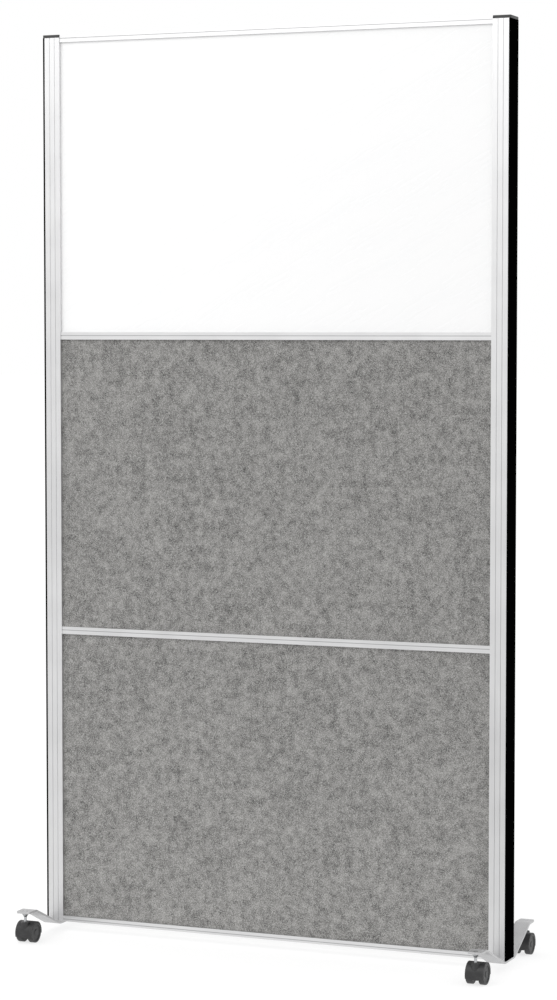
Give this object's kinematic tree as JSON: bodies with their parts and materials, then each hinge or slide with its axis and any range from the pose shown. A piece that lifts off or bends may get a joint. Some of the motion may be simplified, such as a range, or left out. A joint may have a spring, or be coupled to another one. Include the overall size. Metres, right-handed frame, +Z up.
{
  "type": "mobile partition wall",
  "caption": "Free-standing partition wall on swivelling twin-wheel castors: aluminium posts and rails, a whiteboard panel above acoustic felt panels, and side strips for joining walls.",
  "frame": {"origin": "on the floor, under the middle of the wall", "axes": "+Z up, +X along the wall to the right seen from the front, front face towards -Y"},
  "size_m": [1, 0.33, 1.842],
  "materials": {
    "anodised": "satin silver anodised extrusion with fine lengthways drawing lines",
    "foot_metal": "silver powder coat on bent flat steel",
    "strip_black": "matt black connecting strip",
    "cap_grey": "fine-grained dark grey moulding",
    "whiteboard": "glossy white lacquer on steel sheet",
    "felt": "pressed mottled grey felt with light and dark fibres",
    "core": "light filling board, hidden",
    "absorber": "porous absorber, hidden",
    "zinc": "bright zinc plate",
    "castor_plastic": "dark grey moulded nylon",
    "castor_wheel": "dark grey moulded wheel with a smooth tread"
  },
  "bodies": {
    "wall": {"post_left": "anodised", "post_right": "anodised", "post_cap_left": "cap_grey", "post_cap_right": "cap_grey", "edge_strip_left": "strip_black", "edge_strip_right": "strip_black", "top_rail": "anodised", "upper_mid_rail": "anodised", "lower_mid_rail": "anodised", "bottom_rail": "anodised", "whiteboard_front_sheet": "whiteboard", "whiteboard_core": "core", "whiteboard_back_sheet": "whiteboard", "middle_felt_front": "felt", "middle_absorber_core": "absorber", "middle_felt_back": "felt", "lower_felt_front": "felt", "lower_absorber_core": "absorber", "lower_felt_back": "felt", "rail_screws_left": "zinc", "rail_screws_right": "zinc", "foot_left": "foot_metal", "foot_right": "foot_metal", "foot_screws_left": "zinc", "foot_screws_right": "zinc", "front_left_castor_stem": "zinc", "front_right_castor_stem": "zinc", "back_left_castor_stem": "zinc", "back_right_castor_stem": "zinc"},
    "front_left_castor": {"front_left_castor_hood": "castor_plastic", "front_left_castor_axle": "zinc"},
    "front_left_wheel_left": {"front_left_castor_wheel_left": "castor_wheel"},
    "front_left_wheel_right": {"front_left_castor_wheel_right": "castor_wheel"},
    "front_right_castor": {"front_right_castor_hood": "castor_plastic", "front_right_castor_axle": "zinc"},
    "front_right_wheel_left": {"front_right_castor_wheel_left": "castor_wheel"},
    "front_right_wheel_right": {"front_right_castor_wheel_right": "castor_wheel"},
    "back_left_castor": {"back_left_castor_hood": "castor_plastic", "back_left_castor_axle": "zinc"},
    "back_left_wheel_left": {"back_left_castor_wheel_left": "castor_wheel"},
    "back_left_wheel_right": {"back_left_castor_wheel_right": "castor_wheel"},
    "back_right_castor": {"back_right_castor_hood": "castor_plastic", "back_right_castor_axle": "zinc"},
    "back_right_wheel_left": {"back_right_castor_wheel_left": "castor_wheel"},
    "back_right_wheel_right": {"back_right_castor_wheel_right": "castor_wheel"}
  },
  "joints": [
    {"name": "front_left_swivel", "type": "hinge", "parent": "wall", "child": "front_left_castor", "pos_m": [-0.4814, -0.155, 0.043], "axis": [0, 0, 1], "continuous": true},
    {"name": "front_left_wheel_left_roll", "type": "hinge", "parent": "front_left_castor", "child": "front_left_wheel_left", "pos_m": [-0.4814, -0.142, 0.0205], "axis": [1, 0, 0], "continuous": true},
    {"name": "front_left_wheel_right_roll", "type": "hinge", "parent": "front_left_castor", "child": "front_left_wheel_right", "pos_m": [-0.4814, -0.142, 0.0205], "axis": [1, 0, 0], "continuous": true},
    {"name": "front_right_swivel", "type": "hinge", "parent": "wall", "child": "front_right_castor", "pos_m": [0.4814, -0.155, 0.043], "axis": [0, 0, 1], "continuous": true},
    {"name": "front_right_wheel_left_roll", "type": "hinge", "parent": "front_right_castor", "child": "front_right_wheel_left", "pos_m": [0.4814, -0.142, 0.0205], "axis": [1, 0, 0], "continuous": true},
    {"name": "front_right_wheel_right_roll", "type": "hinge", "parent": "front_right_castor", "child": "front_right_wheel_right", "pos_m": [0.4814, -0.142, 0.0205], "axis": [1, 0, 0], "continuous": true},
    {"name": "back_left_swivel", "type": "hinge", "parent": "wall", "child": "back_left_castor", "pos_m": [-0.4814, 0.155, 0.043], "axis": [0, 0, 1], "continuous": true},
    {"name": "back_left_wheel_left_roll", "type": "hinge", "parent": "back_left_castor", "child": "back_left_wheel_left", "pos_m": [-0.4814, 0.142, 0.0205], "axis": [1, 0, 0], "continuous": true},
    {"name": "back_left_wheel_right_roll", "type": "hinge", "parent": "back_left_castor", "child": "back_left_wheel_right", "pos_m": [-0.4814, 0.142, 0.0205], "axis": [1, 0, 0], "continuous": true},
    {"name": "back_right_swivel", "type": "hinge", "parent": "wall", "child": "back_right_castor", "pos_m": [0.4814, 0.155, 0.043], "axis": [0, 0, 1], "continuous": true},
    {"name": "back_right_wheel_left_roll", "type": "hinge", "parent": "back_right_castor", "child": "back_right_wheel_left", "pos_m": [0.4814, 0.142, 0.0205], "axis": [1, 0, 0], "continuous": true},
    {"name": "back_right_wheel_right_roll", "type": "hinge", "parent": "back_right_castor", "child": "back_right_wheel_right", "pos_m": [0.4814, 0.142, 0.0205], "axis": [1, 0, 0], "continuous": true}
  ]
}
